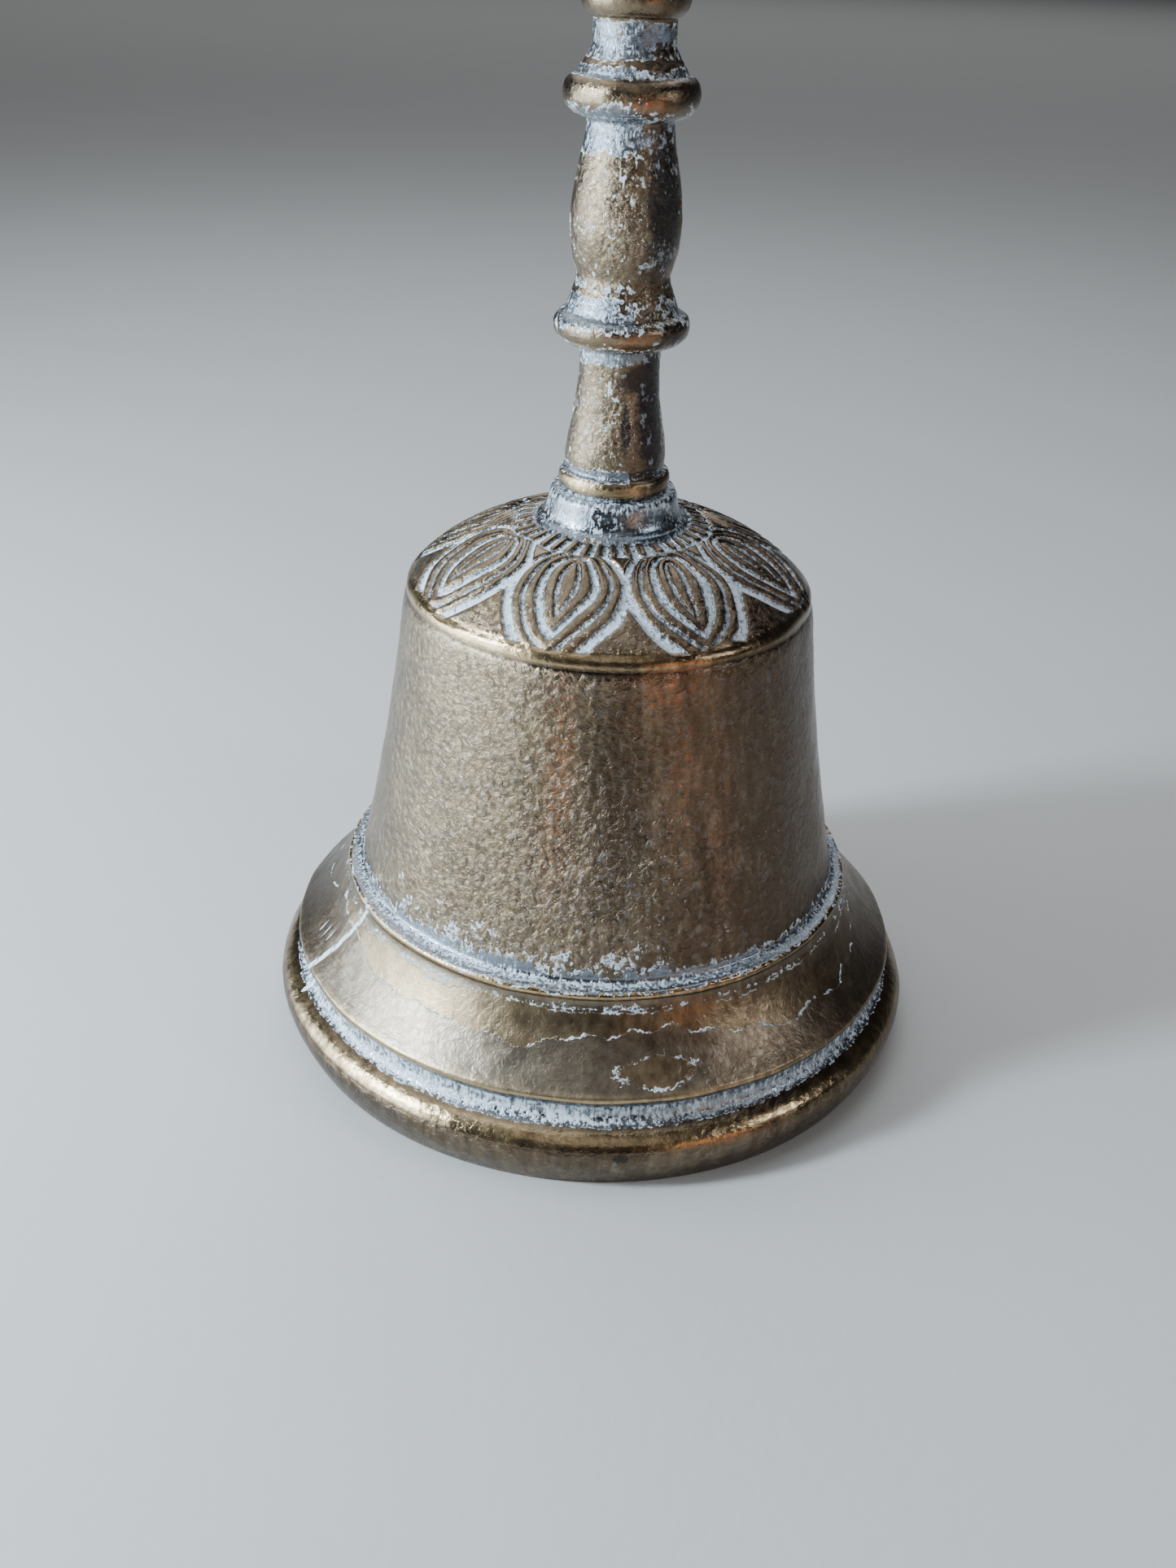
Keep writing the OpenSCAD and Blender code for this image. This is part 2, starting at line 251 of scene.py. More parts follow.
class Turned:
    """A closed surface turned about Z. Rings of points follow a profile; a ring may have
    half or twice the points of its neighbour, and a ring of one point closes a pole. The
    normals point outward whichever way the profile runs: the sign of its enclosed area,
    half the sum of the cross products of neighbouring points, turns them over."""

    def __init__(self, profile, counts):
        self.rows = len(profile)
        self.counts = np.array(counts, int)
        self.start = np.concatenate([[0], np.cumsum(self.counts)])
        row = np.repeat(np.arange(self.rows), self.counts)
        turn = np.concatenate([np.arange(n) * 2 * math.pi / n for n in self.counts])
        slope = np.gradient(profile, axis=0)
        slope /= np.maximum(np.hypot(*slope.T), 1e-9)[:, None]
        after = np.roll(profile, -1, axis=0)
        slope *= np.sign((profile[:, 0] * after[:, 1] - after[:, 0] * profile[:, 1]).sum())
        self.row, self.turn = row, turn
        self.r, self.z = profile[row, 0], profile[row, 1]
        self.normal_r, self.normal_z = slope[row, 1], -slope[row, 0]

    def points(self, lift=0.0):
        """Each point of the turned profile, moved out along its normal by lift."""
        r = self.r + self.normal_r * lift
        return on_circle(r, self.turn, self.z + self.normal_z * lift)

    def faces(self, closed):
        """Quads between equal rings, and three triangles to each pair of points where a ring
        meets one with half as many."""
        pairs = [(j, j + 1) for j in range(self.rows - 1)]
        if closed:
            pairs.append((self.rows - 1, 0))
        out = []
        for a, b in pairs:
            na, nb = self.counts[a], self.counts[b]
            flip = nb > na
            if flip:
                a, b, na, nb = b, a, nb, na
            i = np.arange(na)
            fine, after = self.start[a] + i, self.start[a] + (i + 1) % na
            if nb == 1:
                tri = [np.column_stack([fine, after, np.full(na, self.start[b])])]
            elif na == nb:
                tri = [np.column_stack([fine, after, self.start[b] + (i + 1) % nb]),
                       np.column_stack([fine, self.start[b] + (i + 1) % nb, self.start[b] + i])]
            else:
                k = np.arange(nb)
                f0, f1 = self.start[a] + 2 * k, self.start[a] + 2 * k + 1
                f2 = self.start[a] + (2 * k + 2) % na
                c0, c1 = self.start[b] + k, self.start[b] + (k + 1) % nb
                tri = [np.column_stack(t) for t in ((f0, f1, c0), (f1, f2, c1), (f1, c1, c0))]
            tri = np.vstack(tri)
            out.append(tri[:, ::-1] if flip else tri)
        return np.vstack(out)


def make_object(name, points, faces, marks):
    """A smooth-shaded mesh object from points in millimetres, with named values per point."""
    mesh = bpy.data.meshes.new(name)
    mesh.from_pydata(points * MM, [], faces)
    mesh.validate()
    for key, values in marks.items():
        mark = mesh.attributes.new(key, "FLOAT", "POINT")
        mark.data.foreach_set("value", np.asarray(values, np.float32))
    mesh.shade_smooth()
    thing = bpy.data.objects.new(name, mesh)
    bpy.context.scene.collection.objects.link(thing)
    return thing


def outward(points, faces):
    """The faces, turned over if together they enclose a negative volume."""
    a, b, c = (points[faces[:, k]] for k in range(3))
    return faces if np.einsum("ij,ij->i", a, np.cross(b, c)).sum() > 0 else faces[:, ::-1]


def dress(thing, body, slot, material, *nodes):
    """Puts a finished piece on its body, in place of its frame nodes."""
    thing.data.materials.append(material)
    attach(thing, body)
    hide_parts(*nodes)


# Shapes of the cup

# points round the outside; the dome has twice as many, the inside half
ROUND = 320
# in millimetres: how far the shoulder's edge lies inside the head of the wall, the radius
# at the collar's foot, and the most that the lip may reach
EDGE_INSET, COLLAR_R, LIP_MAX = 1.3, 8.4, 39.10


def cup_profile(s):
    """The cup's section from the crown collar down the outside to the rim, up the inside
    and back through the bolt hole, as (points, ring counts)."""
    mouth, skirt, foot, head = (v / MM for v in (s.mouth_r, s.skirt_r, s.wall_foot_r,
                                                 s.wall_head_r))
    inner, crown, under, edge_z = (v / MM for v in (s.mouth_inner_r, s.crown_z, s.under_z,
                                                    s.shoulder_z))
    hole, waist, edge, dome_end = 2.7, foot + 1.3, head - EDGE_INSET, crown - 3.4
    outside = [
        (line((hole, crown), (6.5, crown)), 0.6, ROUND),
        (bezier((6.5, crown), (6.8, crown - 2), (7.0, dome_end + 0.2),
                (COLLAR_R, dome_end)), 0.3, ROUND),
        (bezier((COLLAR_R, dome_end), (13.6, dome_end - 1.3), (edge - 3.4, edge_z + 3.7),
                (edge, edge_z), 40), 0.24, 2 * ROUND),
        (bezier((edge, edge_z), (head - 0.4, edge_z - 1), (head - 0.2, edge_z - 2.3),
                (head, edge_z - 4.3), 20), 0.4, ROUND),
        (bezier((head, edge_z - 4.3), (head + 1.65, 38.2), (foot - 2, 29.8),
                (foot, 20.8), 40), 1.1, ROUND),
        (bezier((foot, 20.8), (foot, 20.2), (waist - 0.9, 20.0), (waist, 19.95)), 0.22, ROUND),
        (bow((waist, 19.4), 0.55, 0.55, 90, -60), 0.14, ROUND),
        (bezier((waist + 0.4, 18.6), (31.6, 15.5), (34.2, 12.9), (skirt - 0.3, 11.0), 20),
         0.65, ROUND),
        (bow((skirt - 0.6, 10.5), 0.6, 0.6, 60, -60), 0.15, ROUND),
        (bezier((skirt - 0.4, 10.0), (skirt - 1.8, 7.3), (mouth - 0.2, 7.1),
                (mouth + 0.4, 6.5), 20), 0.3, ROUND),
        (bezier((mouth + 0.4, 6.5), (mouth + 2.7, 5.0), (mouth + 0.9, 1.9), (mouth, 0.0), 20),
         0.55, ROUND),
    ]
    inside = [
        (line((mouth, 0.0), (inner, 0.0)), 0.9, ROUND // 2),
        (bezier((inner, 0.0), (inner - 1.2, 7), (28.2, 14), (26.0, 21), 20), 1.5, ROUND // 2),
        (bezier((26.0, 21), (23.8, 30), (22.4, 38), (20.7, 50), 20), 2.0, ROUND // 2),
        (bezier((20.7, 50), (20.4, 54.9), (16.0, under - 0.4), (8.0, under), 20), 1.2,
         ROUND // 2),
        (line((8.0, under), (hole, under)), 1.2, ROUND // 2),
        (line((hole, under), (hole, crown)), 1.5, ROUND // 2),
    ]
    points, counts = [], []
    for curve, step, count in outside + inside:
        run = even(curve, step)[:-1]
        points.append(run)
        counts += [count] * len(run)
    return np.vstack(points), counts


def petal_levels(radius, turn, petals):
    """How far each point lies from the middle line of its petal. Petal outlines are nested:
    the outline of level q starts nearer the crown, ends in a tip further out and is q wide
    (1 reaches the line halfway to the next petal). A point's level is that of the outline
    that passes through it, found by going up the levels a gap at a time. The outline's half
    width grows as the square root of the way to the tip, falls as a power of 0.85 of the way
    left, and is divided by the widest it gets."""
    share = 2 * math.pi / petals
    across = np.abs((turn + share / 2) % share - share / 2) / (share / 2)
    gap, widest = 0.01, 0.412
    levels = np.arange(0.0, 2.2, gap)
    inside = np.full(len(radius), levels[-1])
    before = np.full(len(radius), -1.0)
    found = np.zeros(len(radius), bool)
    for q in levels:
        start, tip = 12.5 - 2.5 * q, 18.0 + 5.4 * q
        t = np.clip((radius - start) / (tip - start), 0.0, 1.0)
        spare = q * t ** 0.5 * (1 - t) ** 0.85 / widest - across
        now = (spare >= 0) & ~found
        part = np.where(now, -before / np.maximum(spare - before, 1e-9), 0.0)
        inside = np.where(now, q - gap * (1 - np.clip(part, 0, 1)), inside)
        found |= now
        before = spare
    return inside


def lotus_height(radius, turn, s):
    """Height of the lotus relief, from 0 on the ground to 1 on the ridges: on each petal a
    heart and three nested ridges, fillers between the tips, a border on the edge, and a ring
    of short radial stamens round the collar. The outlines wander a little, as if cut by
    hand, and the outer groove is lost in places."""
    place = on_circle(radius, turn)
    turn = turn - s.petal_turn + 0.20 * waves(place, 6.0, 31) / radius
    radius = radius + 0.22 * waves(place, 6.0, 32)
    lost = smooth(waves(place, 9.0, 33), 0.9, 1.4)
    q = petal_levels(radius, turn, s.petals)
    petal = (0.8 * ridge(q / 0.13) + ridge((q - 0.295) / 0.10) + ridge((q - 0.625) / 0.082)
             + ridge((q - 0.845) / 0.070) + 0.95 * smooth(q, 1.05, 1.11))
    petal = np.maximum(petal, 0.9 * lost * band(q, 0.62, 0.86, 0.03))
    petal *= smooth(radius, 10.5, 11.1)
    step = 2 * math.pi / s.stamens
    off = ((turn + step / 2) % step - step / 2) / (step / 2)
    stamen = ridge(off / 0.52) * band(radius + 0.5 * off ** 2, 8.7, 10.5, 0.3)
    border = smooth(radius, 21.5, 21.8)
    return np.clip(np.maximum(petal, border) + stamen, 0.0, 1.0)


def shoreline(turn, z):
    """Distance in millimetres from the edges of the bare metal on the skirt: above 0 on the
    bare strip under the waist bead and on one small bare patch, below 0 on the film."""
    patch_turn, patch_z, patch_r = 13, 12.6, 34.5
    ring = on_circle(30, turn)
    above = 17.7 + 0.35 * waves(ring, 7.0, 41)
    below = 14.9 + 1.1 * waves(ring, 17.0, 42) + 0.3 * waves(ring, 4.0, 43)
    strip = 1.35 * np.minimum(above - z, z - below)
    side = turn_from(turn, patch_turn) * math.radians(patch_r)
    patch = 1.6 * (1 - np.hypot(side / 4.2, (z - patch_z) / 1.15)) + 0.2 * waves(ring, 3.0, 44)
    return np.maximum(strip, patch)


def nearness(turn, z, *lines):
    """1 on any of the lines, falling to 0 at 2 mm from them. A line is given by the turns in
    degrees and heights of its ends and the radius it lies at. Heights are stretched to
    lengths along the sloping wall."""
    reach, stretch = 2.0, 1.4
    best = np.full(len(z), reach)
    for turn0, z0, turn1, z1, radius in lines:
        x = np.radians(turn_from(turn, turn0)) * radius
        y = (z - z0) * stretch
        ex, ey = math.radians(turn1 - turn0) * radius, (z1 - z0) * stretch
        part = np.clip((x * ex + y * ey) / (ex * ex + ey * ey), 0.0, 1.0)
        best = np.minimum(best, np.hypot(x - part * ex, y - part * ey))
    return 1.0 - best / reach


def build_cup(s):
    """The cup: its section turned about Z, raised by the lotus relief on the shoulder and by
    a slight waviness everywhere else."""
    profile, counts = cup_profile(s)
    turned = Turned(profile, counts)
    r, z, turn = turned.r, turned.z, turned.turn
    outer = turned.row < counts.index(ROUND // 2)
    edge_z, edge_r = s.shoulder_z / MM, s.wall_head_r / MM - EDGE_INSET
    dome = outer & (z > edge_z - 0.01) & (r > COLLAR_R - 0.1) & (r < edge_r + 0.05)
    lotus = np.zeros(len(r))
    lotus[dome] = lotus_height(r[dome], turn[dome], s)
    base = turned.points()
    ring = on_circle(26, turn)
    wave = waves(base, 13.0, 3) + 0.45 * waves(base, 4.5, 4) + 0.9 * waves(ring, 9.0, 5)
    calm = np.where(outer & (z < edge_z) & (z > 0.5), 1.0, 0.0) * smooth(z, 0.5, 3.0)
    groove = 0.10 * np.exp(-((z - 3.3) / 0.16) ** 2) * outer
    rim = np.where(outer & ~dome & (z > 50), smooth(z, edge_z - 0.85, edge_z - 0.5), 0.0)
    lift = s.relief / MM * (lotus + rim) + s.unevenness / MM * wave * calm - groove
    lift = np.where(outer, np.minimum(lift, LIP_MAX - r), lift)
    points = turned.points(lift)
    hollow = bands(z, (65.3, 70.0, 0.3, 0.74), (62.4, 70.0, 0.6, 0.62), (20.0, 20.2, 0.15, 0.70),
                   (20.2, 20.5, 1.3, 0.50), (17.9, 18.3, 0.6, 0.42), (7.4, 9.4, 0.6, 0.70))
    hollow = np.maximum(hollow, band(z, 21.5, 25.5, 3.0) * (0.21 + 0.09 * spots(
        turn, z, (-32, 25, 26, 6), (8, 23, 14, 3), (150, 26, 40, 6))))
    # more pale residue in the cove and over the waist on the front left: real residue, with the
    # extra there painting the front left lighter as light falls on it
    hollow = hollow + 0.16 * spots(turn, z, (-22, 8.4, 48, 2.2), (-20, 21, 50, 2.5))
    hollow = np.where(dome & (r > 8.8), 1.0 - lotus, hollow) * outer
    worn = bands(z, (19.3, 19.85, 0.25, 0.95), (10.4, 11.1, 0.5, 0.8),
                 (5.7, 6.6, 0.6, 0.75), (54.5, 55.4, 0.15, 0.7))
    on_dome = (0.12 + 0.4 * smooth(r, 20.9, 21.6)) * lotus
    worn = np.maximum(worn * outer, np.where(dome, on_dome, 0.0))
    film = band(z, 10.8, 18.6, 0.3) * outer
    pitted = band(z, 21.5, 53.6, 0.6) * (0.45 + 0.55 * spots(
        turn, z, (4, 32, 24, 10), (150, 30, 30, 12), (-110, 40, 20, 9)))
    pitted = np.where(outer, np.maximum(pitted, 0.5 * band(z, 0.6, 4.8, 0.6)),
                      0.12 + 0.33 * smooth(z, 0.1, 1.5))
    pitted = np.where(dome, 0.45 * smooth(r, 12.0, 17.0) * (1.0 - smooth(r, 21.4, 21.8)), pitted)
    # brown: painted shade over the right of the wall and the collar, painted dulling of the
    # bright reflections on the left of the skirt and lip, and a painted dark reflection stripe
    # down the middle of the wall; the lip is darker all round, real tarnish with painted shade,
    # and the back and the inside are darker
    brown = spots(turn, z, (66, 38, 56, 70), (72, 63, 50, 5), (-170, 30, 40, 40),
                  (-88, 13, 34, 7), (-70, 3, 60, 4), (5, 40, 9, 16))
    brown = np.where(outer, np.maximum(brown, 0.5 * band(z, 0.3, 5.0, 0.8)),
                     0.55 * smooth(z, 0.1, 1.5))
    # stains: real copper stains under the shoulder, on the right and at the back, and painted
    # warm reflection stripes down the front of the wall
    stain_and_sheen = spots(turn, z, (17, 52.5, 9, 2.6), (95, 30, 20, 12), (-160, 45, 16, 6))
    reflection_stripes = spots(turn, z, (-10, 43, 3.5, 11), (21, 42, 5, 10), (31, 36, 4, 12))
    stain_and_sheen = np.maximum(stain_and_sheen, 0.6 * reflection_stripes) * outer
    # dark: painted shadow lines under the skirt's edge, the waist bead and the shoulder's edge,
    # painted shade on the right and back of the collar, and one small real blotch on the lip
    dark = bands(z, (9.5, 10.1, 0.25, 0.9), (18.75, 18.9, 0.15, 0.6), (53.9, 54.2, 0.25, 0.45))
    dark = np.maximum(dark, spots(turn, z, (36, 63.4, 26, 1.6),
                                  (6, 4.7, 1.6, 0.7), (-130, 64, 40, 1.2))) * outer
    score = nearness(turn, z, (-59.8, 19.4, -65.0, 11.0, 32.0), (-65, 11, -66.5, 7, 36.5),
                     (140, 17, 155, 13, 33))
    hatch = nearness(turn, z, (-68.2, 15.6, -67.0, 12.2, 33.5), (-70.4, 15.4, -69.4, 12.4, 33.5),
                     (-72.6, 15.0, -71.8, 12.6, 33.5))
    scratch = np.maximum(score, 0.86 * hatch) * outer
    faces = outward(points, turned.faces(closed=True))
    return make_object("cup", points, faces, {
        "hollow": hollow, "worn": worn, "film": film, "pitted": pitted, "stain_and_sheen": stain_and_sheen,
        "dark": dark, "brown": brown, "scratch": scratch,
        "shore": np.clip(shoreline(turn, z), -3, 3)})


# Shapes of the handle and finial

# heights of the handle's two beads above its foot, in millimetres
LOWER_BEAD, UPPER_BEAD = 17.85, 39.6
# points round the handle and round the finial
HANDLE_ROUND, FINIAL_ROUND = 224, 256


def bead_curves(r, z, foot_r, under, head_r, over):
    """A bead of radius r at height z, tapering down to foot_r and rounded up to head_r."""
    return [
        (bezier((foot_r, z - under), ((foot_r + r) / 2, z - 0.9 * under), (r, z - 0.6 * under),
                (r, z)), 0.16),
        (bezier((r, z), (r, z + 0.65 * over), (head_r + 0.55 * (r - head_r), z + 0.95 * over),
                (head_r, z + over)), 0.14),
    ]


def handle_profile(s, foot, top):
    """The handle's section, from the bottom of its lower bore round the outside to the
    bottom of its upper bore."""
    lower, upper, crest, bead = foot + LOWER_BEAD, foot + UPPER_BEAD, foot + 48.2, foot + 1.45
    big, small, grip = s.lower_bead_r / MM, s.upper_bead_r / MM, s.grip_r / MM
    bolt_bore, pin_bore, stem, neck = 2.55, 2.05, 4.3, 4.05
    return [
        (line((0.0, foot + 20), (bolt_bore, foot + 20)), 1.2),
        (line((bolt_bore, foot + 20), (bolt_bore, foot)), 2.0),
        (line((bolt_bore, foot), (5.7, foot)), 0.8),
        (line((5.7, foot), (5.7, bead - 0.8)), 0.2),
        *bead_curves(6.05, bead, 5.7, 0.8, 5.3, 1.25),
        (bezier((5.3, bead + 1.25), (5.85, bead + 4), (stem - 0.35, bead + 7.5),
                (stem, lower - 2.2)), 0.3),
        *bead_curves(big, lower, stem, 2.2, 5.95, 1.3),
        (bezier((5.95, lower + 1.3), (5.4, lower + 2.9), (4.85, lower + 3.9),
                (4.75, lower + 5)), 0.25),
        (bezier((4.75, lower + 5), (grip + 0.7, lower + 9.05), (grip - 0.1, lower + 12.3),
                (stem, upper - 2.8)), 0.35),
        (line((stem, upper - 2.8), (stem, upper - 2.2)), 0.3),
        *bead_curves(small, upper, stem, 2.2, 5.4, 1.75),
        (bezier((5.4, upper + 1.75), (4.95, upper + 3), (neck - 0.3, upper + 3.9),
                (neck, upper + 5)), 0.25),
        (line((neck, upper + 5), (neck, crest - 1.9)), 0.4),
        *bead_curves(5.25, crest, neck, 1.9, neck, 1.9),
        (line((neck, crest + 1.9), (neck, top)), 0.4),
        (line((neck, top), (pin_bore, top)), 0.6),
        (line((pin_bore, top), (pin_bore, top - 8)), 2.0),
        (line((pin_bore, top - 8), (0.0, top - 8)), 1.0),
    ]


def lathe(parts, around):
    """The parts' points joined into one profile, and the ring counts: one point where the
    profile meets the axis, and around everywhere else."""
    runs = [even(curve, step) for curve, step in parts]
    points = [runs[0]]
    for run in runs[1:]:
        gap = np.hypot(*(run[0] - points[-1][-1]))
        points.append(run[1:] if gap < 0.02 else run)
    profile = np.vstack(points)
    return profile, [1 if r < 1e-6 else around for r in profile[:, 0]]


def build_handle(s):
    """The handle: its section turned about Z with a slight cast waviness, and one small
    ring-shaped dent low on the front of the grip."""
    foot, top = low("handle_spindle")[2], high("handle_spindle")[2]
    profile, counts = lathe(handle_profile(s, foot, top), HANDLE_ROUND)
    turned = Turned(profile, counts)
    r, z, turn = turned.r, turned.z, turned.turn
    skin = (r > 3.0) & (z < top - 0.1)
    outer = skin & (z > foot + 0.3)
    base = turned.points()
    wave = waves(base, 5.0, 11) + 0.4 * waves(base, 1.8, 12)
    dent_turn, dent_z = math.radians(-19), foot + 26.1
    off = np.hypot(((turn - dent_turn + math.pi) % (2 * math.pi) - math.pi) * r,
                   z - dent_z)
    dent = 0.10 * np.exp(-((off - 0.5) / 0.16) ** 2)
    lift = np.where(outer, s.unevenness / MM * wave - dent, 0.0)
    points = turned.points(lift)
    lower, upper = foot + LOWER_BEAD, foot + UPPER_BEAD
    hollow = bands(z, (foot - 1, foot + 0.7, 0.2, 0.74), (foot + 2.8, foot + 3.2, 1.0, 0.60),
                   (lower - 2.8, lower - 2.2, 2.4, 0.66), (lower + 1.35, lower + 3.4, 3.2, 0.60),
                   (upper - 3.6, upper - 2.3, 4.2, 0.66), (upper + 1.8, upper + 6.4, 0.5, 0.64))
    # less pale residue down the right side: real residue, with its thinning there painting the
    # right darker as shade
    hollow = hollow * (1.0 - 0.35 * spots(turn, z, (45, lower - 3, 35, 60)))
    ringed = np.exp(-((z - lower - 3.6) / 0.25) ** 2) + np.exp(-((z - upper - 2.9) / 0.3) ** 2)
    hollow = hollow * (1.0 - 0.7 * ringed)
    hollow = np.maximum(hollow, 0.33 * band(z, foot + 4, upper - 4, 1.5))
    worn = bands(z, (foot + 0.9, foot + 2.2, 0.3, 0.6), (lower - 1.6, lower - 1.2, 0.3, 0.9),
                 (lower - 1.2, lower + 1.2, 0.3, 0.12), (upper - 1.3, upper + 1.6, 0.3, 0.12),
                 (foot + 46.6, foot + 49.8, 0.3, 0.12))
    pitted = 0.25 + 0.5 * spots(turn, z, (30, upper - 12, 40, 4), (35, foot + 9, 40, 5))
    pitted = np.where(worn > 0.1, 0.08, pitted)
    stain_and_sheen = spots(turn, z, (30, foot + 11, 14, 5), (200, upper - 8, 50, 4),
                  (12, lower - 0.6, 22, 0.8), (16, upper - 0.4, 22, 0.8))
    # dark: painted shade down the right of the stem, grip and neck and in a thin line over the
    # foot bead, a small blotch low on the front, and a darker patch at the back
    dark = spots(turn, z, (36, foot + 13.0, 34, 1.8), (50, foot + 10, 26, 9),
                 (12, foot + 8, 7, 2.5), (45, foot + 3.2, 60, 0.4), (46, upper - 9, 24, 8),
                 (30, upper + 4.8, 35, 1.1), (-150, foot + 12, 40, 9))
    # brown: painted shade over the right side of the handle
    brown = spots(turn, z, (62, foot + 24, 42, 60))
    faces = outward(points, turned.faces(closed=False))
    return make_object("handle", points, faces,
                       {"hollow": hollow * skin, "worn": worn * outer, "dark": dark * outer,
                        "pitted": pitted * outer, "stain_and_sheen": stain_and_sheen * outer,
                        "brown": brown * outer})


def build_finial(s):
    """The finial: a collar, a lotus bud and a small ball, turned about Z. Two rows of pointed
    petals are cut into the bud. A petal's half width is the square root of 1 less a power of
    the way up it, so it is full at its foot and ends in a point. The ball's top stays level."""
    foot, top = high("handle_spindle")[2], high("finial")[2]
    pin = low("finial")[2]
    parts = [
        (line((0.0, pin), (2.0, pin)), 0.8),
        (line((2.0, pin), (2.0, foot)), 1.0),
        (line((2.0, foot), (3.6, foot)), 0.5),
        (bow((3.4, foot + 1.9), 1.2, 0.8, -70, 80), 0.16),
        (bezier((3.0, foot + 3.2), (3.0, foot + 4.6), (6.6, foot + 5.0), (6.7, foot + 9.6)),
         0.16),
        (bezier((6.7, foot + 9.6), (6.6, foot + 14.5), (2.2, foot + 15.5), (1.3, top - 3.4)),
         0.16),
        (bow((0.2, top - 1.6), 1.6, 1.6, -60, 89), 0.14),
        (line((0.1, top), (0.0, top)), 0.1),
    ]
    profile, counts = lathe(parts, FINIAL_ROUND)
    turned = Turned(profile, counts)
    r, z, turn = turned.r, turned.z, turned.turn
    bud = band(z, foot + 4.4, foot + 15.5, 0.8)
    share = 2 * math.pi / s.bud_petals
    cut = np.zeros(len(r))
    for base_z, tip_z, shift in ((foot + 3.6, foot + 12.2, 0.0), (foot + 6.0, foot + 16.0, 0.5)):
        across = np.abs((turn + share * (shift + 0.5)) % share - share / 2) / (share / 2)
        t = np.clip((z - base_z) / (tip_z - base_z), 0.0, 1.0)
        edge = across - np.sqrt(np.clip(1 - t ** 2.2, 0.0, 1.0))
        front = 1.0 if shift == 0.0 else smooth(z, foot + 7.5, foot + 9.0)
        cut = np.maximum(cut, np.exp(-(edge / 0.085) ** 2) * front * (t < 1) * (t > 0))
    base = turned.points()
    outer = z > foot
    lift = -s.bud_relief / MM * cut * bud + np.where(outer, 0.03 * waves(base, 4.0, 21), 0.0)
    lift = np.where(z < top - 1, lift, np.minimum(lift, 0.0))
    lift = np.where(r < 0.3, 0.0, lift)
    points = turned.points(lift)
    hollow = np.maximum(cut * bud, 0.8 * band(z, foot + 2.7, foot + 3.9, 0.4)) * outer
    worn = np.maximum(0.5 * bud * (1 - cut), band(z, foot + 1.3, foot + 2.5, 0.3))
    worn = np.maximum(worn, smooth(z, top - 3.0, top - 2.0))
    faces = outward(points, turned.faces(closed=False))
    return make_object("finial_bud", points, faces, {"hollow": 0.85 * hollow,
                                                     "worn": worn * outer,
                                                     "pitted": 0.3 * outer})


# Materials


class Shade:
    """A node material under construction. Each call adds one node and gives its output."""

    def __init__(self, name):
        self.material = bpy.data.materials.new(name)
        self.material.use_nodes = True
        self.tree = self.material.node_tree
        self.tree.nodes.clear()
        place = self.node("ShaderNodeTexCoord")
        self.here = self.node("ShaderNodeVectorMath", (place.outputs["Object"],),
                              operation="SCALE")
        self.here.inputs["Scale"].default_value = 1 / MM
        self.here = self.here.outputs[0]

    def node(self, kind, sockets=(), **settings):
        """A new node with its settings made and its first sockets fed in order."""
        made = self.tree.nodes.new(kind)
        for key, value in settings.items():
            setattr(made, key, value)
        for k, value in enumerate(sockets):
            self.feed(made.inputs[k], value)
        return made

    def feed(self, socket, value):
        """Links an output to the socket, or sets the socket to a number or colour."""
        if isinstance(value, bpy.types.NodeSocket):
            self.tree.links.new(value, socket)
        elif value is not None:
            if socket.type == "RGBA" and len(value) == 3:
                value = (*value, 1.0)
            socket.default_value = value

    def math(self, operation, a, b=None, c=None):
        return self.node("ShaderNodeMath", (a, b, c), operation=operation).outputs[0]

    def plus(self, a, b):
        return self.math("ADD", a, b)

    def times(self, a, b):
        return self.math("MULTIPLY", a, b)

    def times_plus(self, a, b, c):
        """a times b, plus c."""
        return self.math("MULTIPLY_ADD", a, b, c)

    def step(self, value, start, stop, low_end=0.0, high_end=1.0):
        """A smooth step of value, from low_end at start to high_end at stop."""
        return self.node("ShaderNodeMapRange", (value, start, stop, low_end, high_end),
                         interpolation_type="SMOOTHSTEP").outputs[0]

    def mix(self, amount, a, b):
        """The colour a at amount 0, b at amount 1, and a mix of them between."""
        made = self.node("ShaderNodeMix", data_type="RGBA")
        for socket, value in zip((made.inputs[0], made.inputs[6], made.inputs[7]),
                                 (amount, a, b)):
            self.feed(socket, value)
        return made.outputs[2]

    def stretched(self, across, up):
        """The place in millimetres, scaled across the axis and along it."""
        return self.node("ShaderNodeVectorMath", (self.here, (across, across, up)),
                         operation="MULTIPLY").outputs[0]

    def noise(self, scale, detail=3.0, rough=0.55, place=None, warp=0.0):
        """Noise between about 0.2 and 0.8, with scale patches to the millimetre."""
        made = self.node("ShaderNodeTexNoise", (place or self.here,))
        for key, value in (("Scale", scale), ("Detail", detail), ("Roughness", rough),
                           ("Distortion", warp)):
            made.inputs[key].default_value = value
        return made.outputs["Fac"]

    def mark(self, name):
        """The value that the mesh carries under a name."""
        return self.node("ShaderNodeAttribute", attribute_name=name).outputs["Fac"]

    def finish(self, colour_, metal, rough, height, depth):
        """A Principled surface with bump. Height is in millimetres times depth."""
        bump = self.node("ShaderNodeBump")
        bump.inputs["Distance"].default_value = depth * MM
        self.feed(bump.inputs["Height"], height)
        shader = self.node("ShaderNodeBsdfPrincipled")
        for key, value in (("Base Color", colour_), ("Metallic", metal), ("Roughness", rough)):
            self.feed(shader.inputs[key], value)
        self.feed(shader.inputs["Normal"], bump.outputs[0])
        out = self.node("ShaderNodeOutputMaterial")
        self.tree.links.new(shader.outputs[0], out.inputs["Surface"])
        return self.material


